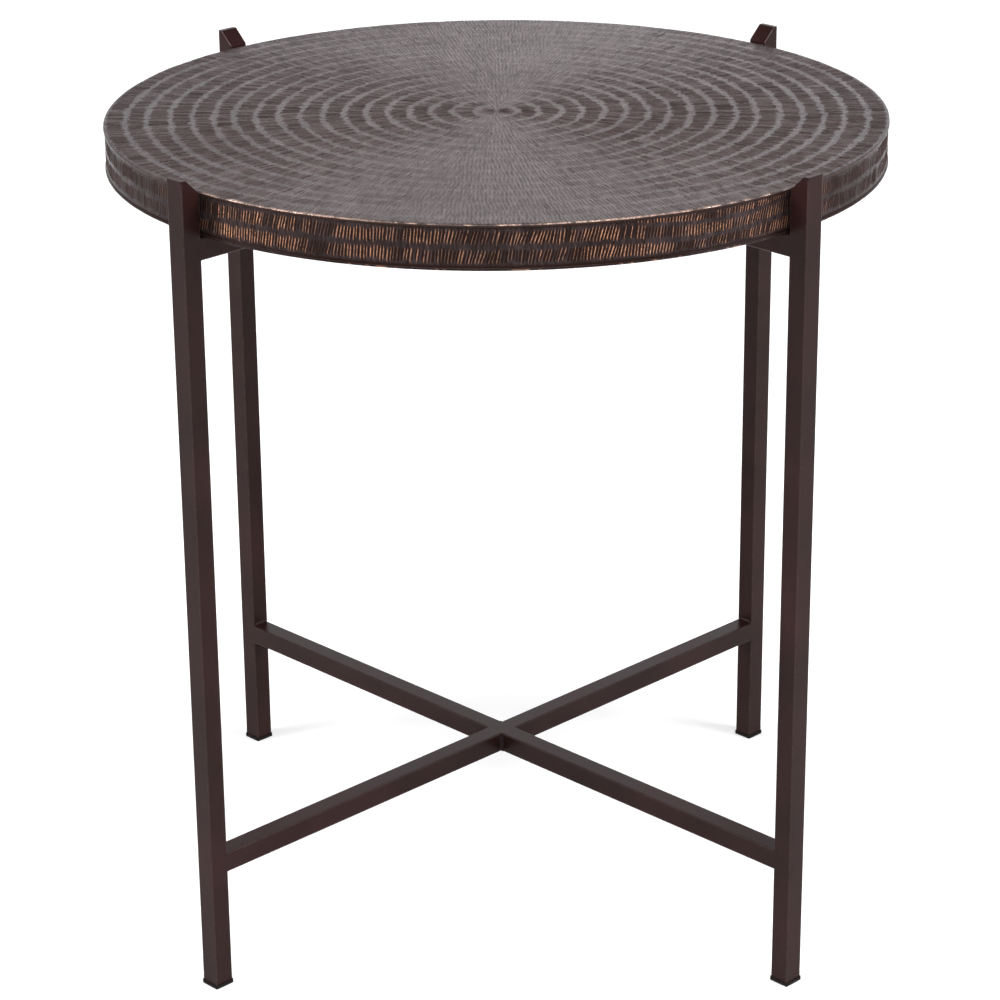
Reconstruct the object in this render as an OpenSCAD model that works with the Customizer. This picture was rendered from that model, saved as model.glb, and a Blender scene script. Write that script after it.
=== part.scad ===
/* [Tray] */
// Outer diameter of the tray
tray_d = 592; // [560:2:594]
// Height of the tray from its underside to its top
tray_h = 33.5; // [30:0.5:60]
// Thickness of the hammered sheet metal
sheet_t = 1; // [0.8:0.1:1.5]
// Outside radius of the rounded top edge
edge_r = 1.5; // [1.2:0.1:2.5]
// Depth that the top sheet is turned down over the side band
lip_h = 3; // [3:0.5:8]
// Width of the flange that the side band turns in under the tray
flange_w = 12; // [8:1:18]
// Thickness of the wooden board under the top sheet
board_t = 12; // [9:1:14]
// Width of the wooden ring that builds up the edge of the board
ring_w = 30; // [20:1:60]
// Number of nails that hold the flange to the ring
nail_count = 16; // [8:8:32]

/* [Frame] */
// Height of the leg tips above the floor
overall_h = 638; // [560:2:760]
// Distance between the centres of neighbouring legs
leg_spacing = 434; // [433:1:460]
// Width of the square tube
tube_w = 16; // [14:1:20]
// Wall thickness of the square tube
tube_wall = 1.2; // [1:0.1:1.6]
// Radius of the outer corners of the square tube
tube_r = 1.2; // [0.6:0.1:2]
// Height of the leg tips above the top of the tray
tip_h = 11; // [4:1:14]
// Width of the flat part of a leg tip
land_w = 4; // [2:0.5:6]
// Depth that the bevel of a leg tip falls towards the tray
bevel_drop = 11.5; // [6:0.5:12]
// Upright thickness of the plate that closes a leg tip
cap_t = 2; // [1.5:0.5:3]
// Height of the underside of the lower bars above the floor
lower_bar_z = 95; // [60:5:200]
// Size of the weld fillets
weld_w = 3; // [2:0.5:4]

/* [Feet] */
// Thickness of the part of a glide that shows under the leg
glide_t = 3; // [2:0.5:6]
// Distance that a glide stands out beyond the leg
glide_lip = 0.8; // [0.2:0.1:1]
// Height of the plug that holds a glide in the leg
plug_h = 12; // [8:1:20]

/* [Hidden] */
// Each corner of the frame, and its direction seen from the middle of the table
CORNERS = [["front_left", 225], ["front_right", 315], ["back_left", 135], ["back_right", 45]];
// The long bars join the front left and back right legs; a half bar reaches each other leg
LONG_BAR_ANGLE = 45;
HALF_BARS = [["back_left", 135], ["front_right", 315]];

FRAME_COLOUR = [0.24, 0.18, 0.17];
SHEET_COLOUR = [0.42, 0.35, 0.33];
BAND_COLOUR = [0.33, 0.20, 0.15];
WOOD_COLOUR = [0.55, 0.42, 0.28];

// Heights
tray_top_z = overall_h - tip_h;
tray_base_z = tray_top_z - tray_h;
lip_z = tray_top_z - lip_h;
board_base_z = tray_top_z - sheet_t - board_t;
upper_bar_z = tray_base_z - tube_w;

// Frame: distances from the middle of the table, along its diagonals
leg_reach = leg_spacing / sqrt(2);
bar_end = leg_reach - tube_w / 2;
bore_w = tube_w - 2 * tube_wall;
bore_r = 0.5;
tube_flat = tube_w - 2 * tube_r;
bevel_slope = bevel_drop / (tube_w - land_w);

// Tray: radii, from the outside in
glue_gap = 0.1;
tuck_gap = 0.5;
tray_r = tray_d / 2;
band_r = tray_r - sheet_t - glue_gap;
core_r = band_r - sheet_t - glue_gap;
nail_circle_r = band_r - flange_w / 2;
nail_head_r = 2;
nail_head_t = 0.8;
nail_shank_r = 0.8;
nail_shank_h = 14;

// Glide: the plug is a slim core with fins that fit the leg's bore
glide_w = tube_w + 2 * glide_lip;
glide_chamfer = 0.6;
plug_core_w = bore_w - 3;
fin_w = bore_w - 0.1;
fin_t = 1.2;
fin_count = 3;

CORNER_FN = 32;
ROUND_FN = 240;

// Square outline with round corners
module rounded_square(w, r) {
    square([w, w - 2 * r], center = true);
    square([w - 2 * r, w], center = true);
    for (x = [-1, 1], y = [-1, 1])
        translate([x * (w / 2 - r), y * (w / 2 - r)]) circle(r, $fn = CORNER_FN);
}

// Cross-section of the square tube
module tube_section() {
    difference() {
        rounded_square(tube_w, tube_r);
        rounded_square(bore_w, bore_r);
    }
}

// Place children at a leg, with +X pointing away from the middle of the table
module at_leg(angle) {
    rotate([0, 0, angle]) translate([leg_reach, 0, 0]) children();
}

// Solid whose outline in the upright plane through a leg is the given points
module upright_slab(points) {
    rotate([90, 0, 0]) linear_extrude(2 * tube_w, center = true) polygon(points);
}

// Line of a leg tip from its outer side to its inner side: a flat land, then the bevel
function tip_line(drop) = [
    [tube_w, overall_h - drop],
    [tube_w / 2 - land_w, overall_h - drop],
    [-tube_w, overall_h - drop - bevel_slope * (1.5 * tube_w - land_w)]
];

function reversed(points) = [for (i = [len(points) - 1:-1:0]) points[i]];

// Leg: a square tube, cut at the top to the slope of its tip
module leg(angle) {
    color(FRAME_COLOUR)
    at_leg(angle)
    intersection() {
        translate([0, 0, glide_t]) linear_extrude(overall_h) tube_section();
        upright_slab(concat(tip_line(cap_t), [[-tube_w, 0], [tube_w, 0]]));
    }
}

// Plate that closes the leg tip, with a flat land outside and a bevel inside
module leg_cap(angle) {
    color(FRAME_COLOUR)
    at_leg(angle)
    intersection() {
        linear_extrude(overall_h + 1) rounded_square(tube_w, tube_r);
        upright_slab(concat(tip_line(0), reversed(tip_line(cap_t))));
    }
}

// Glide: a square pad with a chamfered underside, and a finned plug inside the leg
module foot_glide(angle) {
    pad = glide_w / 2;
    sole = pad - glide_chamfer;
    profile = [[-sole, 0], [sole, 0], [pad, glide_chamfer], [pad, glide_t], [-pad, glide_t], [-pad, glide_chamfer]];
    color("black")
    at_leg(angle) {
        intersection() {
            linear_extrude(glide_t) rounded_square(glide_w, tube_r + glide_lip);
            upright_slab(profile);
            rotate([0, 0, 90]) upright_slab(profile);
        }
        translate([0, 0, glide_t]) linear_extrude(plug_h) rounded_square(plug_core_w, bore_r);
        for (i = [1:fin_count])
            translate([0, 0, glide_t + i * plug_h / fin_count - fin_t])
                linear_extrude(fin_t) rounded_square(fin_w, bore_r);
    }
}

// Length of square tube along a diagonal, with its underside at height z
module bar(angle, from, to, z) {
    color(FRAME_COLOUR)
    rotate([0, 0, angle])
    translate([from, 0, z + tube_w / 2])
    rotate([0, 90, 0]) linear_extrude(to - from) tube_section();
}

module long_bar(z) bar(LONG_BAR_ANGLE, -bar_end, bar_end, z);
module half_bar(angle, z) bar(angle, tube_w / 2, bar_end, z);

// Weld fillets of one level: above and below each bar's end, and in the corners where the bars cross
module welds(z) {
    corner = tube_w / 2;
    color(FRAME_COLOUR)
    for (c = CORNERS)
        rotate([0, 0, c[1]]) {
            for (side = [0, 1])
                translate([bar_end, 0, z + side * tube_w])
                rotate([90, 0, 0])
                linear_extrude(tube_flat, center = true)
                polygon([[0, 0], [-weld_w, 0], [0, (2 * side - 1) * weld_w]]);
            translate([corner, corner, z + tube_r])
                linear_extrude(tube_flat) polygon([[0, 0], [weld_w, 0], [0, weld_w]]);
        }
}

// Half outline of a disc from height low to high, with its upper edge rounded
module edge_profile(r, low, high, round_r) {
    translate([0, low]) square([r - round_r, high - low]);
    translate([0, low]) square([r, high - low - round_r]);
    translate([r - round_r, high - round_r]) circle(round_r, $fn = 4 * CORNER_FN);
}

// Hammered top sheet, turned down over the side band all round
module tray_top() {
    color(SHEET_COLOUR)
    rotate_extrude($fn = ROUND_FN)
    difference() {
        edge_profile(tray_r, lip_z, tray_top_z, edge_r);
        edge_profile(tray_r - sheet_t, lip_z - sheet_t, tray_top_z - sheet_t, edge_r - sheet_t);
    }
}

// Hammered side band: an upright wall, a rounded hem and a flange turned in under the tray
module side_band() {
    wall_h = tray_h - sheet_t - tuck_gap;
    color(BAND_COLOUR)
    rotate_extrude($fn = ROUND_FN) {
        translate([band_r - sheet_t, tray_base_z + sheet_t]) square([sheet_t, wall_h - sheet_t]);
        translate([band_r - flange_w, tray_base_z]) square([flange_w, sheet_t]);
        translate([band_r, tray_base_z + sheet_t]) circle(sheet_t, $fn = CORNER_FN);
    }
}

// Wooden board that keeps the top sheet flat
module core_board() {
    color(WOOD_COLOUR)
    rotate_extrude($fn = ROUND_FN)
    edge_profile(core_r, board_base_z, tray_top_z - sheet_t, edge_r - sheet_t);
}

// Wooden ring glued under the board, which backs the side band
module edge_ring() {
    color(WOOD_COLOUR)
    translate([0, 0, tray_base_z + sheet_t])
    rotate_extrude($fn = ROUND_FN)
    translate([core_r - ring_w, 0]) square([ring_w, board_base_z - tray_base_z - sheet_t]);
}

// Nails driven up through the flange into the ring
module band_nails() {
    color("dimgray")
    for (i = [0.5:nail_count])
        rotate([0, 0, i * 360 / nail_count])
        translate([nail_circle_r, 0, tray_base_z]) {
            translate([0, 0, -nail_head_t]) cylinder(h = nail_head_t, r = nail_head_r, $fn = CORNER_FN);
            cylinder(h = nail_shank_h, r = nail_shank_r, $fn = CORNER_FN);
        }
}

for (c = CORNERS) {
    leg(c[1]);
    leg_cap(c[1]);
    foot_glide(c[1]);
}
long_bar(lower_bar_z);  // lower_bar_long
long_bar(upper_bar_z);  // upper_bar_long
for (b = HALF_BARS) {
    half_bar(b[1], lower_bar_z);
    half_bar(b[1], upper_bar_z);
}
welds(lower_bar_z);  // lower_welds
welds(upper_bar_z);  // upper_welds
tray_top();
side_band();
core_board();
edge_ring();
band_nails();
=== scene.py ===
import math

import bmesh
import bpy
import numpy as np
from mathutils import Matrix, Vector


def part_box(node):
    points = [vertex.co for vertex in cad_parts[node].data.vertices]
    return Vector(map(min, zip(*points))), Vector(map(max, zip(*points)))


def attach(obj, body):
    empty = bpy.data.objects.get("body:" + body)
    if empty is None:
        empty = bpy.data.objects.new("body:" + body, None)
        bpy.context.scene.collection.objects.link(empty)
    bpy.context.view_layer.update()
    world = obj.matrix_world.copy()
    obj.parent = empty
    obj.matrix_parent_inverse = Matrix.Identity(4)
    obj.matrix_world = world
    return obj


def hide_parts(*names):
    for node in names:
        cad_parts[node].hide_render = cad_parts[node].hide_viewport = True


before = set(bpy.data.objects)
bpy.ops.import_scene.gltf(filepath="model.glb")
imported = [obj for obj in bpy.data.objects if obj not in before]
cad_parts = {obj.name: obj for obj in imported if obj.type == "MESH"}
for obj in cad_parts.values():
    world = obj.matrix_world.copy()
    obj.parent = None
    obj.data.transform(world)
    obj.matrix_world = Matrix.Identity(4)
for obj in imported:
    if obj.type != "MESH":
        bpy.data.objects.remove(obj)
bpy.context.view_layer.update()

MM = 0.001

# Places read from the frame
top_low, top_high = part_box("tray_top")
band_low, band_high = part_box("side_band")
_, board_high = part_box("core_board")
leg_low, leg_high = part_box("leg_front_right")
tube_low, tube_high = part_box("lower_bar_long")
SHEET_T = top_high.z - board_high.z
TRAY_R = top_high.x
TRAY_TOP = top_high.z
LIP_BASE = top_low.z
TRAY_BASE = band_low.z
BAND_R = band_high.x - SHEET_T
BAND_TOP = band_high.z
BAND_H = LIP_BASE - TRAY_BASE
LEG_OFFSET = (leg_low.x + leg_high.x) / 2
TUBE_HALF = (tube_high.z - tube_low.z) / 2

# Points round the rim, and round the plain rows that don't show
RIM_COLUMNS = 720
PLAIN_COLUMNS = 240

# A dash, one hammered mark, is four columns: its ridge, a flank, the valley and the other flank.
# Relief is the height of each column in dash depths, and ridge says how rubbed it is.
COLUMN_PHASE = np.array([0.0, 0.25, 0.5, 0.75])
TOP_RELIEF = np.array([0.5, 0.0, -0.5, 0.0])
TOP_RIDGE = np.array([0.35, 0.2, 0.0, 0.2])
BAND_RELIEF = np.array([0.38, -0.37, -0.62, -0.37])
BAND_RIDGE = np.array([1.0, 0.15, 0.0, 0.15])


# ---------------------------------------------------------------- mesh tools

def fan(pole, loop):
    """Triangles from one point to a closed loop around it."""
    return [(pole, a, b) for a, b in zip(loop, loop[1:] + loop[:1])]


def zipped(inner, outer):
    """Faces between two closed loops: quads where they have equal counts, else triangles."""
    n = len(inner)
    m = len(outer)
    if n == m:
        return [(inner[i], outer[i], outer[(i + 1) % m], inner[(i + 1) % n]) for i in range(n)]
    faces = []
    i = 0
    j = 0
    while i < n or j < m:
        if j < m and (i == n or (j + 1) * n <= (i + 1) * m):
            faces.append((inner[i % n], outer[j], outer[(j + 1) % m]))
            j += 1
        else:
            faces.append((inner[i], outer[j % m], inner[(i + 1) % n]))
            i += 1
    return faces


def row(angles, radii, heights, ridge=0.3, tone=0.5):
    """Loop of points of a turned skin; ridge says how rubbed it is, on the rim with painted highlights, and
    tone how light, from 0 to 1.
    """
    return np.broadcast_arrays(angles, radii, heights, ridge, tone)


def lathe(name, rows, closed):
    """Object whose skin joins rows, each a loop or a single point."""
    loops = []
    first = 0
    for angles, *_ in rows:
        loops.append(list(range(first, first + angles.size)))
        first += angles.size
    angles, radii, heights, ridge, tone = (np.concatenate(parts) for parts in zip(*rows))
    points = np.column_stack([radii * np.cos(angles), radii * np.sin(angles), heights])
    faces = []
    for inner, outer in zip(loops, loops[1:] + (loops[:1] if closed else [])):
        if len(inner) == 1:
            faces += fan(inner[0], outer)
        elif len(outer) == 1:
            faces += fan(outer[0], inner[::-1])
        else:
            faces += zipped(inner, outer)
    piece = mesh_object(name, points.tolist(), faces)
    for label, values in (("ridge", ridge), ("tone", tone)):
        layer = piece.data.attributes.new(label, "FLOAT", "POINT")
        layer.data.foreach_set("value", values.astype(np.float32))
    return piece


def mesh_object(name, points, faces):
    """Smooth-shaded object in the scene, of the given points and faces."""
    mesh = bpy.data.meshes.new(name)
    mesh.from_pydata(points, [], faces)
    mesh.shade_smooth()
    mesh.update()
    piece = bpy.data.objects.new(name, mesh)
    bpy.context.scene.collection.objects.link(piece)
    return piece


def full_circle(count):
    """Evenly spaced angles round a circle."""
    return np.arange(count) * 2 * math.pi / count


def runs(count, rng):
    """One value per dash from -1 to 1, which stays the same over groups of four to eight dashes."""
    values = []
    while len(values) < count:
        values += [rng.uniform(-1, 1)] * int(rng.integers(4, 9))
    return np.array(values[:count])


def drifting(count, rng):
    """One value per dash from -1 to 1, which changes gently from dash to dash."""
    knots = max(3, count // 7)
    return np.interp(full_circle(count), full_circle(knots), rng.uniform(-1, 1, knots), period=2 * math.pi)


def waves(rng, count, shortest, longest):
    """Wave vectors and phases of a gently uneven surface."""
    direction = rng.uniform(0, 2 * math.pi, count)
    number = 2 * math.pi / rng.uniform(shortest, longest, count)
    return number * np.cos(direction), number * np.sin(direction), rng.uniform(0, 2 * math.pi, count)


def unevenness(x, y, shape):
    """Depth from 0 to 1 of a gently uneven surface at the points x, y."""
    total = sum(np.sin(kx * x + ky * y + phase) for kx, ky, phase in zip(*shape))
    return 0.5 + total / (2 * len(shape[0]))


# ---------------------------------------------------------------- tray top

# Rings of radial marks, and their mean spacing round a ring
RING_COUNT = 18
RING_PITCH = TRAY_R / RING_COUNT
DASH_PITCH = 2.9 * MM
# Mean plain gap between two rings, and how far its middle line waves
RING_GAP = 3.8 * MM
BORDER_WAVE = 0.45 * MM
# Height from valley to ridge of a typical mark, and how many times that the deepest one has
DASH_DEPTH = 0.66 * MM
DEEPEST = 1.2
# Length over which a mark runs out at each end
DASH_RAMP = 1.6 * MM
# How far the ends of a group of marks stray, and of each mark in it
RAGGED_ENDS = (0.6 * MM, 1.3 * MM)
# Marks keep this far from the middle of a gap, from the middle of the tray and from its rounded edge
BORDER_SPACE = 0.2 * MM
HUB_R = 2 * MM
RIM_SPACE = 0.8 * MM
# The sheet between the marks is gently uneven
TOP_DIPS = waves(np.random.default_rng(7), 8, 35 * MM, 110 * MM)
DIP_DEPTH = 0.15 * MM

# Radius of the rounded edge, and the blows that beat it down: their number and their depth
EDGE_R = 1.0 * MM
RIM_BLOWS = 91
BLOW_DEPTH = 0.25 * MM
# Number of places round the edge that are each more or less rubbed
RIM_GLINTS = 300
# Directions in degrees of two painted highlights on the edge, bright bare copper at the front left and front
# right, and how far each reaches
RIM_HIGHLIGHTS = (246, 286)
HIGHLIGHT_REACH = 9


def top_height(angles, radii):
    """Height of the sheet between the marks: never above the flat top of the frame's tray."""
    x = radii * np.cos(angles)
    y = radii * np.sin(angles)
    return TRAY_TOP - DEEPEST * DASH_DEPTH / 2 - DIP_DEPTH * unevenness(x, y, TOP_DIPS)


def dash_angles(count, rng):
    """Angles of the four columns of each dash round a circle, not quite evenly spaced."""
    ridge = np.arange(count) + rng.uniform(-0.14, 0.14, count)
    following = np.append(ridge[1:], ridge[0] + count)
    columns = ridge[:, None] + (following - ridge)[:, None] * COLUMN_PHASE
    return columns.ravel() * 2 * math.pi / count


def ragged(count, rng, group, single):
    """Offset of each dash, as four equal values: shared by its group, plus its own."""
    return np.repeat(group * runs(count, rng) + single * rng.uniform(-1, 1, count), 4)


def ring_border(number, angles):
    """Radius of the slightly wavy line between two rings of dashes."""
    rng = np.random.default_rng(100 + number)
    long_wave = np.sin(rng.integers(3, 6) * angles + rng.uniform(0, 6))
    short_wave = np.sin(rng.integers(7, 12) * angles + rng.uniform(0, 6))
    wave = BORDER_WAVE * (long_wave + short_wave) if 0 < number < RING_COUNT else 0.0
    return number * RING_PITCH + wave


def dash_ring(number, rng):
    """Four rows of points: where the dashes of one ring start, reach and leave full depth, and end."""
    middle = (number - 0.5) * RING_PITCH
    count = round(2 * math.pi * middle / DASH_PITCH)
    angles = dash_angles(count, rng)
    inner = ring_border(number - 1, angles)
    outer = ring_border(number, angles)
    start = inner + RING_GAP / 2 + ragged(count, rng, *RAGGED_ENDS)
    end = outer - RING_GAP / 2 + ragged(count, rng, *RAGGED_ENDS)
    start = np.maximum(start, np.maximum(inner + BORDER_SPACE, HUB_R))
    end = np.minimum(end, np.minimum(outer - BORDER_SPACE, TRAY_R - EDGE_R - RIM_SPACE))
    depth = DASH_DEPTH * rng.uniform(0.55, DEEPEST, count)
    relief = (depth[:, None] * TOP_RELIEF).ravel()
    ridge = np.tile(TOP_RIDGE, count)
    tone = np.clip(0.6 + ragged(count, rng, 0.2, 0.4), 0, 1)
    # Neighbouring marks turn together, by up to 0.4 of their spacing at each end
    skew = np.repeat(0.4 * drifting(count, rng), 4) * DASH_PITCH / middle
    rows = []
    for radii, part in ((start, 0), (start + DASH_RAMP, 1), (end - DASH_RAMP, 1), (end, 0)):
        turned = angles + skew * (radii - middle) / (RING_PITCH / 2)
        heights = top_height(turned, radii) + part * relief
        rows.append(row(turned, radii, heights, 0.3 + part * (ridge - 0.3), 0.5 + part * (tone - 0.5)))
    return rows


def rim_wear_and_highlights(angles, rng):
    """How bare and bright the rim is, from 0.5 to 1: most in the two painted highlights at the front, and in
    short rubbed glints elsewhere.
    """
    wear_and_sheen = np.zeros(angles.size)
    # The two painted highlights, brightest in their middles
    for middle in RIM_HIGHLIGHTS:
        away = np.abs(angles - math.radians(middle))
        wear_and_sheen = np.maximum(wear_and_sheen, 1.5 - away / math.radians(HIGHLIGHT_REACH))
    glints = rng.uniform(-0.3, 1.2, RIM_GLINTS)
    glints = np.interp(angles, full_circle(RIM_GLINTS), glints, period=2 * math.pi)
    return 0.5 + 0.5 * np.clip(np.maximum(wear_and_sheen, glints) - rng.uniform(0, 0.5, angles.size), 0, 1)


def rim_rows(rng):
    """Rows over the rounded rim, down the lip and back under the sheet."""
    angles = full_circle(RIM_COLUMNS)
    blows = rng.uniform(-1, 1, RIM_BLOWS)
    beat = BLOW_DEPTH * np.abs(np.interp(angles, full_circle(RIM_BLOWS), blows, period=2 * math.pi))
    beat += rng.uniform(0, 0.12, RIM_COLUMNS) * MM
    crest = top_height(angles, TRAY_R) - beat
    wear_and_sheen = rim_wear_and_highlights(angles, rng)
    rows = []
    # Turn of the rounded edge in degrees from flat to upright, and how rubbed it is there, painted highlights
    # included
    for bend, ridge in ((0, 0.05 + 0.85 * wear_and_sheen), (35, wear_and_sheen), (65, wear_and_sheen), (90, 0.1)):
        reach = TRAY_R - EDGE_R * (1 - math.sin(math.radians(bend)))
        fall = EDGE_R * (1 - math.cos(math.radians(bend)))
        rows.append(row(angles, reach - 0.6 * beat * (bend > 0), crest - fall, ridge))
    # The lip's face, darkening down to its lower edge, gets the groove colour and a dark tone: painted shade
    # under the rounded edge
    rows.append(row(angles, TRAY_R - 0.8 * beat, LIP_BASE + beat + 0.4 * MM, 0.0, 0.1))
    rows.append(row(angles, TRAY_R - 0.3 * MM, LIP_BASE + beat, 0.1, 0.1))
    rows.append(row(angles, TRAY_R - 0.8 * SHEET_T, LIP_BASE + beat, 0.0, 0.1))
    plain = full_circle(PLAIN_COLUMNS)
    rows.append(row(plain, TRAY_R - SHEET_T, LIP_BASE + 0.7 * MM, 0.0))
    rows.append(row(plain, TRAY_R - SHEET_T, TRAY_TOP - 1.3 * SHEET_T, 0.0))
    rows.append(row(plain, TRAY_R - 1.3 * SHEET_T, TRAY_TOP - SHEET_T, 0.0))
    return rows


def hammered_top():
    """The tray's top sheet with its rings of marks, its rounded rim and its lip."""
    rng = np.random.default_rng(11)
    rows = [row(np.zeros(1), 0.0, TRAY_TOP - DIP_DEPTH / 2)]
    for number in range(1, RING_COUNT + 1):
        rows += dash_ring(number, rng)
    rows += rim_rows(rng)
    rows.append(row(np.zeros(1), 0.0, TRAY_TOP - SHEET_T, 0.0))
    piece = lathe("hammered_top", rows, closed=False)
    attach(piece, "tray")
    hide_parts("tray_top")
    return piece


# ---------------------------------------------------------------- side band

BAND_DASHES = 780
BAND_DEPTH = 0.60 * MM
# Heights in band heights: lower end of the upper row of marks, and both ends of the lower row
UPPER_ROW_LOW = 0.555
LOWER_ROW_HIGH = 0.535
LOWER_ROW_LOW = 0.13
# The upper row of marks dips here, by this much, and short marks fill the space above it
DIP_DIRECTION = math.radians(302)
DIP_WIDTH = math.radians(13)
ROW_DIP = 7.5 * MM
FLANGE_W = 12 * MM


def band_dash_rows(angles, high, low, rng):
    """Four rows of points of one row of upright marks, from its upper ends to its lower ends."""
    count = BAND_DASHES
    space = high - low
    upper = high - space * np.abs(ragged(count, rng, 0.14, 0.10))
    lower = low + space * np.abs(ragged(count, rng, 0.12, 0.10))
    # Most of the marks lean to the right, more so on the right of the tray
    lean = 0.10 + 0.08 * np.cos(angles - math.radians(320)) + np.repeat(0.16 * drifting(count, rng), 4)
    strength = np.clip(0.85 + ragged(count, rng, 0.4, 0.4), 0.35, 1.2)
    strength = strength * np.clip(space / (3 * MM), 0, 1)
    relief = strength * BAND_DEPTH * np.tile(BAND_RELIEF, count)
    ridge = np.tile(BAND_RIDGE, count) * np.clip(strength, 0, 1)
    tone = np.clip(0.5 + ragged(count, rng, 0.3, 0.35), 0, 1)
    rows = []
    for along, part in ((0.0, 0.0), (0.2, 1.0), (0.8, 1.0), (1.0, 0.0)):
        heights = upper + along * (lower - upper)
        turned = angles + lean * (0.5 - along) * space / BAND_R
        rows.append(row(turned, BAND_R + part * relief, heights,
                        0.3 + part * (ridge - 0.3), 0.5 + part * (tone - 0.5)))
    return rows


def hammered_band():
    """The tray's side band with its rows of marks, its rolled hem and its flange."""
    rng = np.random.default_rng(23)
    angles = dash_angles(BAND_DASHES, rng)
    hem = full_circle(RIM_COLUMNS)
    wobble = 0.12 * MM * np.abs(np.sin(37 * hem) * np.sin(11 * hem + 1))
    glint = np.where(runs(RIM_COLUMNS, rng) + rng.uniform(-1, 1, RIM_COLUMNS) > 0.9, 0.7, 0.1)
    # The band's top, tucked under the lip, gets the groove colour and a dark tone: painted shade under the
    # lip
    rows = [row(angles, BAND_R, LIP_BASE + 0.6 * MM, 0.0, 0.1)]
    rows.append(row(angles, BAND_R, LIP_BASE - 0.2 * MM, 0.0, 0.1))
    dip = ROW_DIP * np.clip(1.3 - np.abs(angles - DIP_DIRECTION) / DIP_WIDTH, 0, 1)
    marks_top = LIP_BASE - 0.4 * MM
    rows += band_dash_rows(angles, marks_top, marks_top - 0.1 * MM - 0.85 * dip, rng)
    upper_low = TRAY_BASE + UPPER_ROW_LOW * BAND_H - 0.5 * dip
    rows += band_dash_rows(angles, marks_top - 0.2 * MM - dip, upper_low, rng)
    lower_high = TRAY_BASE + LOWER_ROW_HIGH * BAND_H - 0.55 * dip
    rows += band_dash_rows(angles, lower_high, TRAY_BASE + LOWER_ROW_LOW * BAND_H, rng)
    rows.append(row(hem, BAND_R, TRAY_BASE + 3.4 * SHEET_T, 0.1))
    rows.append(row(hem, BAND_R - 0.25 * MM, TRAY_BASE + 2.2 * SHEET_T, 0.0, 0.2))
    # Turn round the rolled hem in degrees above level, and how rubbed it is there
    for turn, ridge in ((60, 0.1), (30, 0.2), (0, glint), (-30, glint), (-60, 0.1), (-90, 0.1)):
        reach = BAND_R + SHEET_T * math.cos(math.radians(turn)) - wobble
        rise = TRAY_BASE + SHEET_T * (1 + math.sin(math.radians(turn)))
        rows.append(row(hem, reach, rise, ridge))
    plain = full_circle(PLAIN_COLUMNS)
    flange_edge = BAND_R - FLANGE_W
    rows.append(row(plain, flange_edge, TRAY_BASE, 0.1))
    rows.append(row(plain, flange_edge, TRAY_BASE + SHEET_T, 0.0))
    rows.append(row(plain, BAND_R - SHEET_T, TRAY_BASE + SHEET_T, 0.0))
    rows.append(row(plain, BAND_R - SHEET_T, BAND_TOP, 0.0))
    rows.append(row(plain, BAND_R, BAND_TOP, 0.0))
    piece = lathe("hammered_band", rows, closed=True)
    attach(piece, "tray")
    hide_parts("side_band")
    return piece


# ---------------------------------------------------------------- welds

WELD_RIPPLE = 1.1 * MM
STEPS_PER_RIPPLE = 3
TUBE_R = 1.2 * MM
UP = Vector((0, 0, 1))
# Section of a weld in a corner between two faces, and of one ground flush over a seam
FILLET = ((0.0, 1.0), (0.13, 0.62), (0.34, 0.34), (0.62, 0.13), (1.0, 0.0), (-0.05, -0.05))
FLUSH = ((-1.2, 0.01), (-0.5, -0.01), (0.5, -0.01), (1.3, 0.01), (0.5, 0.5), (0.0, 1.0))


def bead(start, end, side_a, side_b, size, section, rng):
    """Points and faces of one weld from start to end, with its section between two directions."""
    length = (end - start).length
    steps = round(length / WELD_RIPPLE) * STEPS_PER_RIPPLE
    ripple = 0.05 if section == FILLET else 0.0
    points = []
    for step in range(steps + 1):
        along = step / steps
        swell = 1 - ripple * (1 + math.cos(2 * math.pi * along * length / WELD_RIPPLE))
        # The bead tapers close to both ends
        swell *= 1 - 14 * ripple * (2 * along - 1) ** 8
        swell *= 1 - ripple * rng.uniform(0, 1)
        middle = start.lerp(end, along)
        for a, b in section:
            points.append(middle + size * swell * (a * side_a + b * side_b))
    ring = len(section)
    faces = [tuple(reversed(range(ring))), tuple(steps * ring + k for k in range(ring))]
    for step in range(steps):
        for k in range(ring):
            a = step * ring + k
            b = step * ring + (k + 1) % ring
            faces.append((a, b, b + ring, a + ring))
    return points, faces


def weld_places(bar_low, bar_high, size):
    """Start, end, two directions, size and section of each weld of one level."""
    reach = LEG_OFFSET * math.sqrt(2) - TUBE_HALF
    flat = TUBE_HALF - TUBE_R
    places = []
    for quarter in range(4):
        turn = Matrix.Rotation(math.radians(45 + 90 * quarter), 3, "Z")
        out = turn @ Vector((1, 0, 0))
        side = turn @ Vector((0, 1, 0))
        corner = TUBE_HALF * (out + side)
        places.append((corner + (bar_low + TUBE_R / 2) * UP, corner + (bar_high - TUBE_R / 2) * UP,
                       out, side, size, FILLET))
        for z, rise in ((bar_low, -UP), (bar_high, UP)):
            foot = reach * out + z * UP
            places.append((foot - flat * side, foot + flat * side, -out, rise, size, FILLET))
        for across in (-side, side):
            foot = reach * out + TUBE_HALF * across
            places.append((foot + (bar_low + TUBE_R / 2) * UP, foot + (bar_high - TUBE_R / 2) * UP,
                           out, -across, TUBE_R, FLUSH))
        # The half bars butt against the long bar, which runs along the first and third quarters
        if quarter % 2 == 1:
            for z, inward in ((bar_low, UP), (bar_high, -UP)):
                foot = TUBE_HALF * out + z * UP
                places.append((foot - TUBE_HALF * side, foot + TUBE_HALF * side,
                               -out, inward, TUBE_R, FLUSH))
    return places


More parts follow.
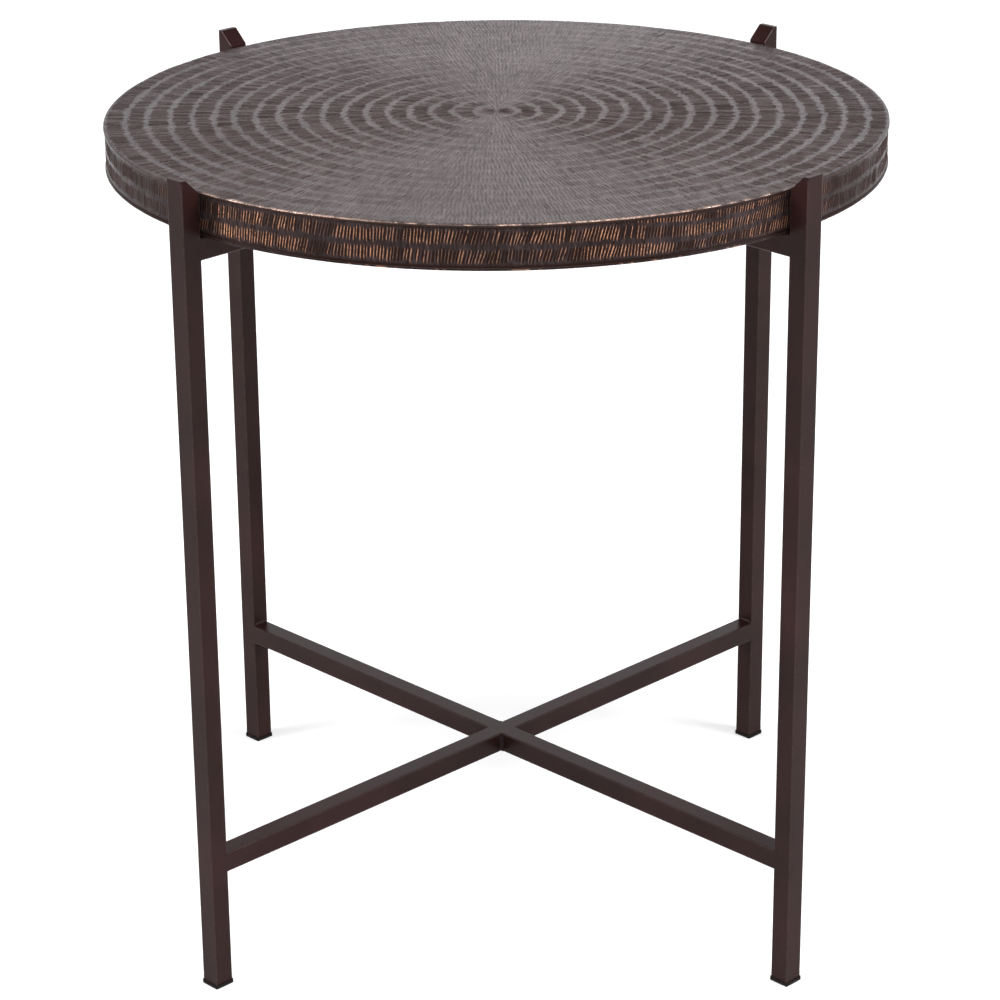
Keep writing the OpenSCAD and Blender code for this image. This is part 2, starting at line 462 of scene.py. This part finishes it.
def weld_beads(node, bar):
    """The welds of one level of bars, as one piece."""
    rng = np.random.default_rng(31)
    bar_low, bar_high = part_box(bar)
    size = bar_low.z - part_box(node)[0].z
    points = []
    faces = []
    for weld in weld_places(bar_low.z, bar_high.z, size):
        bead_points, bead_faces = bead(*weld, rng)
        shift = len(points)
        points += [tuple(point) for point in bead_points]
        faces += [tuple(shift + k for k in face) for face in bead_faces]
    piece = mesh_object(node.replace("welds", "weld_beads"), points, faces)
    face_outwards(piece)
    piece.data.set_sharp_from_angle(angle=math.radians(50))
    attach(piece, "stand")
    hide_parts(node)
    return piece


def face_outwards(piece):
    """Turn all the faces of closed shells outwards."""
    work = bmesh.new()
    work.from_mesh(piece.data)
    bmesh.ops.recalc_face_normals(work, faces=work.faces)
    work.to_mesh(piece.data)
    work.free()


# ---------------------------------------------------------------- materials

# How much lighter the frame gets: a painted highlight on tube corners and bevels, and worn paint in spots on
# the welds
SHEEN_AND_WEAR = 0.10
STREAK_SCALE = 620.0
# Low index of refraction, because dusty and satin surfaces reflect less than clean glossy ones
COAT_IOR = 1.17
GLIDE_IOR = 1.15


def add(tree, kind, inputs, **settings):
    """New node with its settings, and each input set or linked."""
    made = tree.nodes.new(kind)
    for name, value in settings.items():
        setattr(made, name, value)
    for name, value in inputs.items():
        if isinstance(value, bpy.types.NodeSocket):
            tree.links.new(value, made.inputs[name])
        else:
            made.inputs[name].default_value = value
    return made


def coordinates(tree):
    return add(tree, "ShaderNodeTexCoord", {}).outputs["Object"]


def place(tree):
    """Outputs x, y and z of the object coordinates."""
    return add(tree, "ShaderNodeSeparateXYZ", {0: coordinates(tree)}).outputs


def noise(tree, scale, detail=3.0, stretch=None):
    """Noise from 0 to 1 with features about 1 / scale metres wide, stretched along an axis if asked."""
    vector = coordinates(tree)
    if stretch:
        vector = add(tree, "ShaderNodeVectorMath", {0: vector, 1: stretch}, operation="MULTIPLY").outputs[0]
    return add(tree, "ShaderNodeTexNoise", {"Vector": vector, "Scale": scale, "Detail": detail}).outputs[0]


def math_node(tree, operation, a, b=0.0):
    return add(tree, "ShaderNodeMath", {0: a, 1: b}, operation=operation).outputs[0]


def product(tree, first, *others):
    for factor in others:
        first = math_node(tree, "MULTIPLY", first, factor)
    return first


def remap(tree, value, low, high, to_low=0.0, to_high=1.0):
    """Value from low to high, brought to the range to_low to to_high and held there."""
    inputs = {"Value": value, "From Min": low, "From Max": high, "To Min": to_low, "To Max": to_high}
    return add(tree, "ShaderNodeMapRange", inputs).outputs[0]


def mix(tree, factor, a, b):
    inputs = {0: factor, 6: a, 7: b}
    return add(tree, "ShaderNodeMix", inputs, data_type="RGBA").outputs[2]


def bump(tree, height, distance, strength=1.0, normal=None):
    """Normal roughened by a height, on top of another normal if given."""
    inputs = {"Height": height, "Distance": distance, "Strength": strength}
    if normal:
        inputs["Normal"] = normal
    return add(tree, "ShaderNodeBump", inputs).outputs[0]


def rgba(red, green, blue):
    return (red, green, blue, 1.0)


def new_material(name):
    """New node material, its node tree and its shader node."""
    material = bpy.data.materials.new(name)
    material.use_nodes = True
    shader = material.node_tree.nodes["Principled BSDF"]
    return material, material.node_tree, shader


def connect(tree, shader, **sockets):
    """Link sockets to the shader's inputs, each under its plain name."""
    names = {"colour": "Base Color", "roughness": "Roughness", "metallic": "Metallic", "normal": "Normal"}
    for key, socket in sockets.items():
        tree.links.new(socket, shader.inputs[names[key]])


def attribute(tree, name):
    return add(tree, "ShaderNodeAttribute", {}, attribute_name=name).outputs["Fac"]


def band_streaks(tree):
    """Noise in fine upright streaks."""
    return noise(tree, 450.0, 3.0, stretch=(1.0, 1.0, 0.12))


def top_streaks(tree):
    """Noise in fine streaks that point to the middle of the tray, new ones for each ring."""
    x, y, _ = place(tree)
    flat = add(tree, "ShaderNodeCombineXYZ", {0: x, 1: y}).outputs[0]
    radius = add(tree, "ShaderNodeVectorMath", {0: flat}, operation="LENGTH").outputs["Value"]
    outwards = add(tree, "ShaderNodeVectorMath", {0: flat}, operation="NORMALIZE").outputs[0]
    ring = math_node(tree, "ROUND", math_node(tree, "DIVIDE", radius, RING_PITCH))
    reach = math_node(tree, "MULTIPLY", ring, RING_PITCH)
    on_ring = add(tree, "ShaderNodeVectorMath", {0: outwards, "Scale": reach}, operation="SCALE").outputs[0]
    # Along a streak the noise changes ten times slower than across it
    drift = math_node(tree, "MULTIPLY", radius, 0.1)
    lift = add(tree, "ShaderNodeCombineXYZ", {2: math_node(tree, "ADD", ring, drift)}).outputs[0]
    spot = add(tree, "ShaderNodeVectorMath", {0: on_ring, 1: lift}, operation="ADD").outputs[0]
    return add(tree, "ShaderNodeTexNoise", {"Vector": spot, "Scale": STREAK_SCALE, "Detail": 2.0}).outputs[0]


def hammered_metal(name, light, dark, groove, bare, bare_ridge, speck_range, ior, streaks_of):
    """Patina from dark to light, in the groove colour down in the marks, and rubbed to bare metal where
    the ridge value is above bare_ridge and the specks are in the upper part of speck_range. The bare
    metal is also a painted sheen, held back at the tray's two sides, and painted highlights on the rim."""
    material, tree, shader = new_material(name)
    streak = streaks_of(tree)
    ridge = attribute(tree, "ridge")
    tone = attribute(tree, "tone")
    cloud = noise(tree, 9.0)
    patch = noise(tree, 45.0)
    speck = noise(tree, 260.0, 4.0)
    grit = noise(tree, 900.0, 2.0)
    shade = product(tree, remap(tree, patch, 0.3, 0.7, 0.4, 1.0), remap(tree, tone, 0.0, 1.0, 0.2, 1.6),
                    remap(tree, streak, 0.35, 0.65, 0.3, 1.3))
    colour = mix(tree, shade, dark, light)
    colour = mix(tree, remap(tree, ridge, 0.28, 0.02), colour, groove)
    # Bare metal on rubbed ridges, with painted sheen: less copper at the tray's two sides, and the rim's
    # painted highlights
    bare_and_sheen = product(tree, remap(tree, ridge, bare_ridge, 0.95), remap(tree, speck, *speck_range),
                     remap(tree, cloud, 0.3, 0.6, 0.45, 1.0), remap(tree, grit, 0.35, 0.6, 0.35, 1.1),
                     painted_sheen_by_side(tree))
    colour = mix(tree, bare_and_sheen, colour, bare)
    roughness = math_node(tree, "ADD", remap(tree, cloud, 0.3, 0.7, 0.20, 0.32),
                          remap(tree, streak, 0.3, 0.7, 0.08, -0.06))
    normal = bump(tree, grit, 0.05 * MM, 0.6)
    normal = bump(tree, patch, 0.5 * MM, 0.35, normal)
    normal = bump(tree, streak, 0.3 * MM, 0.5, normal)
    metallic = math_node(tree, "MULTIPLY", bare_and_sheen, 0.9)
    connect(tree, shader, colour=colour, roughness=roughness, metallic=metallic, normal=normal)
    shader.inputs["IOR"].default_value = ior
    return material


def painted_sheen_by_side(tree):
    """Painted sheen: 1 towards the front and back of the tray and nearly 0 at its two sides, where light
    falls so that the copper shows less.
    """
    y = place(tree)[1]
    return remap(tree, math_node(tree, "ABSOLUTE", y), 0.58 * TRAY_R, 0.78 * TRAY_R, 0.05, 1.0)


def powder_coat(name, sheen_and_wear_of):
    """Satin dark bronze coat with orange peel, dust, and lighter places as the given function says: a painted
    highlight along corners and bevels, worn spots on welds.
    """
    material, tree, shader = new_material(name)
    cloud = noise(tree, 14.0)
    peel = noise(tree, 700.0, 2.0)
    speck = noise(tree, 400.0, 5.0)
    tone = mix(tree, remap(tree, cloud, 0.3, 0.7), rgba(0.012, 0.005, 0.0045), rgba(0.024, 0.009, 0.0085))
    dust = remap(tree, speck, 0.62, 0.8, 0.0, 0.15)
    tone = mix(tree, dust, tone, rgba(0.05, 0.03, 0.027))
    # Lighter colour: a painted highlight on corners and bevels, and worn paint on weld spots
    wear_and_sheen = math_node(tree, "MULTIPLY", sheen_and_wear_of(tree), remap(tree, speck, 0.25, 0.75, 0.3, 1.0))
    tone = mix(tree, wear_and_sheen, tone, rgba(0.30, 0.23, 0.21))
    roughness = remap(tree, cloud, 0.3, 0.7, 0.28, 0.38)
    normal = bump(tree, peel, 0.06 * MM, 0.4)
    connect(tree, shader, colour=tone, roughness=roughness, normal=normal)
    shader.inputs["IOR"].default_value = COAT_IOR
    return material


def leg_axes(tree):
    """Distances from a leg's middle line, outwards and sideways, along its faces."""
    x, y, _ = place(tree)
    a = math_node(tree, "SUBTRACT", math_node(tree, "ABSOLUTE", x), LEG_OFFSET)
    b = math_node(tree, "SUBTRACT", math_node(tree, "ABSOLUTE", y), LEG_OFFSET)
    out = math_node(tree, "MULTIPLY", math_node(tree, "ADD", a, b), math.sqrt(0.5))
    side = math_node(tree, "MULTIPLY", math_node(tree, "SUBTRACT", a, b), math.sqrt(0.5))
    return math_node(tree, "ABSOLUTE", out), math_node(tree, "ABSOLUTE", side)


def corner_sheen(tree, a, b):
    """Painted highlight at the full lightening amount on the rounded corners of a tube, and 0 on its faces,
    from its two cross distances.
    """
    nearest = math_node(tree, "MINIMUM", a, b)
    return remap(tree, nearest, TUBE_HALF - 1.3 * MM, TUBE_HALF - 0.6 * MM, 0.0, SHEEN_AND_WEAR)


def leg_edge_sheen(tree):
    """Painted highlight along the rounded corners of a leg."""
    out, side = leg_axes(tree)
    return corner_sheen(tree, out, side)


def tip_edge_sheen(tree):
    """Painted highlight along both sides of the bevel of a leg tip."""
    _, side = leg_axes(tree)
    edge = remap(tree, side, TUBE_HALF - 0.6 * MM, TUBE_HALF - 0.3 * MM)
    facing = add(tree, "ShaderNodeNewGeometry", {}).outputs["Normal"]
    rise = add(tree, "ShaderNodeSeparateXYZ", {0: facing}).outputs[2]
    bevel = product(tree, remap(tree, rise, 0.3, 0.5, 0.0, 0.8), remap(tree, rise, 0.9, 0.95, 1.0, 0.0))
    return product(tree, edge, bevel)


def bar_edge_sheen(bar, sign):
    """Painted highlight along the rounded corners of a bar along the diagonal where x = sign * y."""
    bar_low, bar_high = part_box(bar)
    middle = (bar_low.z + bar_high.z) / 2

    def edges(tree):
        x, y, z = place(tree)
        off = math_node(tree, "SUBTRACT", x, math_node(tree, "MULTIPLY", y, sign))
        across = math_node(tree, "ABSOLUTE", math_node(tree, "MULTIPLY", off, math.sqrt(0.5)))
        upright = math_node(tree, "ABSOLUTE", math_node(tree, "SUBTRACT", z, middle))
        return corner_sheen(tree, across, upright)

    return edges


def scattered_wear(tree):
    """Wear of a weld bead, in small spots."""
    return remap(tree, noise(tree, 300.0), 0.6, 0.9, 0.0, SHEEN_AND_WEAR)


def moulded_plastic():
    material, tree, shader = new_material("glide_plastic")
    grain = noise(tree, 1500.0, 2.0)
    cloud = noise(tree, 60.0)
    tone = mix(tree, cloud, rgba(0.007, 0.006, 0.006), rgba(0.014, 0.011, 0.010))
    connect(tree, shader, colour=tone, roughness=remap(tree, cloud, 0.3, 0.7, 0.5, 0.65),
            normal=bump(tree, grain, 0.04 * MM, 0.5))
    shader.inputs["IOR"].default_value = GLIDE_IOR
    return material


def stained_wood():
    """Dark stained board with grain along X."""
    material, tree, shader = new_material("core_wood_stain")
    fibre = noise(tree, 60.0, 6.0, stretch=(0.08, 1.0, 1.0))
    pore = noise(tree, 700.0, 3.0, stretch=(0.06, 1.0, 1.0))
    tone = mix(tree, remap(tree, fibre, 0.3, 0.7), rgba(0.055, 0.030, 0.016), rgba(0.13, 0.075, 0.04))
    tone = mix(tree, remap(tree, pore, 0.58, 0.75), tone, rgba(0.03, 0.016, 0.009))
    connect(tree, shader, colour=tone, roughness=remap(tree, fibre, 0.3, 0.7, 0.55, 0.72),
            normal=bump(tree, pore, 0.12 * MM, 0.7))
    return material


def blackened_steel():
    material, tree, shader = new_material("nail_steel")
    cloud = noise(tree, 350.0, 4.0)
    tone = mix(tree, remap(tree, cloud, 0.35, 0.65), rgba(0.05, 0.045, 0.04), rgba(0.16, 0.15, 0.14))
    connect(tree, shader, colour=tone, roughness=remap(tree, cloud, 0.3, 0.7, 0.35, 0.6),
            normal=bump(tree, cloud, 0.08 * MM, 0.6))
    shader.inputs["Metallic"].default_value = 0.8
    return material


def paint(thing, material):
    """Give a piece this one material."""
    thing.data.materials.clear()
    thing.data.materials.append(material)


def dress_frame():
    """Materials of the CAD nodes that stay as they are."""
    legs = powder_coat("coat_leg", leg_edge_sheen)
    tips = powder_coat("coat_tip", tip_edge_sheen)
    bars = {}
    plastic = moulded_plastic()
    wood = stained_wood()
    steel = blackened_steel()
    for name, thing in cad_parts.items():
        if name.startswith("leg_cap"):
            paint(thing, tips)
        elif name.startswith("leg"):
            paint(thing, legs)
        elif name.startswith("foot_glide"):
            paint(thing, plastic)
        elif "_bar_" in name:
            level = name.split("_")[0]
            length, sign = ("long", 1) if name.endswith("long") else ("half", -1)
            coat_name = f"coat_{level}_{length}"
            if coat_name not in bars:
                bars[coat_name] = powder_coat(coat_name, bar_edge_sheen(name, sign))
            paint(thing, bars[coat_name])
        elif name in ("core_board", "edge_ring"):
            paint(thing, wood)
        elif name == "band_nails":
            paint(thing, steel)


# ---------------------------------------------------------------- stage

FLOOR_R = 14.0
WALL_H = 2.6
FLOOR_SIDES = 64


def floor():
    """Wide pale floor under the table, with a low pale wall round it."""
    mesh = bpy.data.meshes.new("studio_floor")
    n = FLOOR_SIDES
    foot = [(FLOOR_R * math.cos(a), FLOOR_R * math.sin(a), 0.0) for a in full_circle(n)]
    top = [(x, y, WALL_H) for x, y, _ in foot]
    wall = [(i, (i + 1) % n, n + (i + 1) % n, n + i) for i in range(n)]
    mesh.from_pydata(foot + top, [], [tuple(range(n))] + wall)
    ground = bpy.data.objects.new("studio_floor", mesh)
    bpy.context.scene.collection.objects.link(ground)
    material, tree, shader = new_material("studio_floor_paper")
    paper = noise(tree, 30.0)
    tone = mix(tree, paper, rgba(0.78, 0.78, 0.78), rgba(0.80, 0.80, 0.80))
    connect(tree, shader, colour=tone)
    shader.inputs["Roughness"].default_value = 0.9
    shader.inputs["Specular IOR Level"].default_value = 0.1
    shader.inputs["Emission Color"].default_value = rgba(1.0, 1.0, 1.0)
    distance = add(tree, "ShaderNodeVectorMath", {0: coordinates(tree)}, operation="LENGTH").outputs["Value"]
    tree.links.new(remap(tree, distance, 1.0, 4.0, 0.36, 0.7), shader.inputs["Emission Strength"])
    paint(ground, material)


def sky():
    """World that is white low down behind the table, and dimmer overhead and in front."""
    world = bpy.data.worlds.new("studio")
    bpy.context.scene.world = world
    world.use_nodes = True
    tree = world.node_tree
    direction = add(tree, "ShaderNodeTexCoord", {}).outputs["Generated"]
    x, y, z = add(tree, "ShaderNodeSeparateXYZ", {0: direction}).outputs
    sideways = math_node(tree, "ABSOLUTE", x)
    # A white card behind the table, brightest in its middle
    card = product(tree, remap(tree, sideways, 0.25, 0.5, 1.0, 0.0), remap(tree, y, 0.0, 0.5),
                   remap(tree, sideways, 0.03, 0.15, 1.0, 0.75))
    horizon = product(tree, remap(tree, card, 0.0, 1.0, 0.34, 1.22), remap(tree, x, 0.0, 0.12, 1.0, 0.9),
                      remap(tree, z, 0.32, 0.37, 0.85, 1.0))
    # More light from its upper part, and from all of it that stands clear of the floor
    upper = remap(tree, z, 0.41, 0.46, 0.0, 0.25)
    strip = product(tree, remap(tree, z, 0.15, 0.28), remap(tree, y, 0.2, 0.7, 0.0, 0.6))
    horizon = math_node(tree, "ADD", math_node(tree, "ADD", horizon, upper), strip)
    # Low down the light comes more from the right, which picks out the flanks of the marks
    uneven = mix(tree, remap(tree, z, 0.26, 0.34), remap(tree, x, -0.2, 0.2, 0.45, 1.65), rgba(1.0, 1.0, 1.0))
    strength = product(tree, horizon, uneven, remap(tree, z, 0.50, 0.68, 1.0, 0.08))
    background = tree.nodes["Background"]
    # Warm in the middle and cool to both sides
    tint = mix(tree, remap(tree, sideways, 0.04, 0.16), rgba(1.0, 0.93, 0.95), rgba(0.91, 0.94, 1.0))
    tree.links.new(tint, background.inputs["Color"])
    tree.links.new(strength, background.inputs["Strength"])


def softbox(name, spot, target, size, power):
    """Square area light, its size in metres and its power in watts, turned towards the target."""
    light = bpy.data.lights.new(name, "AREA")
    light.shape = "SQUARE"
    light.size = size
    light.energy = power
    lamp = bpy.data.objects.new(name, light)
    lamp.location = spot
    aim = Vector(target) - Vector(spot)
    lamp.rotation_euler = aim.to_track_quat("-Z", "Y").to_euler()
    bpy.context.scene.collection.objects.link(lamp)


def lights():
    target = (0, 0, 0.4)
    softbox("softbox_left", (-3.2, -1.0, 2.2), target, 1.6, 110)
    softbox("softbox_right", (3.2, -1.2, 2.2), target, 1.6, 130)
    softbox("softbox_top", (0, -0.8, 3.6), target, 1.8, 90)


# Place and lens of the camera, and its turns in radians
EYE = (0.01902, -2.4351, 1.2751)
LENS_MM = 119.1
SENSOR_MM = 36.0
PAN = 0.0077
TILT = math.radians(90 - 21.623)
ROLL = -0.0086


def camera():
    """Camera at the photograph's viewing angle, with a hair of roll."""
    data = bpy.data.cameras.new("camera")
    data.lens = LENS_MM
    data.sensor_width = SENSOR_MM
    data.clip_end = 50.0
    eye = bpy.data.objects.new("camera", data)
    pan = Matrix.Rotation(PAN, 4, "Z")
    tilt = Matrix.Rotation(TILT, 4, "X")
    roll = Matrix.Rotation(ROLL, 4, "Z")
    eye.matrix_world = Matrix.Translation(EYE) @ pan @ tilt @ roll
    bpy.context.scene.collection.objects.link(eye)
    bpy.context.scene.camera = eye


# ---------------------------------------------------------------- making

camera()
floor()
sky()
lights()
bpy.context.scene.view_settings.view_transform = "Standard"

dress_frame()
paint(hammered_top(), hammered_metal(
    "patina_top",
    light=rgba(0.059, 0.043, 0.044),
    dark=rgba(0.018, 0.0135, 0.013),
    groove=rgba(0.028, 0.012, 0.008),
    bare=rgba(0.80, 0.55, 0.45),
    bare_ridge=0.45,
    speck_range=(0.28, 0.5),
    ior=1.17,
    streaks_of=top_streaks))
paint(hammered_band(), hammered_metal(
    "patina_band",
    light=rgba(0.044, 0.030, 0.031),
    dark=rgba(0.011, 0.007, 0.0065),
    groove=rgba(0.015, 0.0065, 0.0045),
    bare=rgba(0.72, 0.35, 0.20),
    bare_ridge=0.31,
    speck_range=(0.28, 0.52),
    ior=1.12,
    streaks_of=band_streaks))
weld_coat = powder_coat("coat_weld", scattered_wear)
paint(weld_beads("lower_welds", "lower_bar_long"), weld_coat)
paint(weld_beads("upper_welds", "upper_bar_long"), weld_coat)
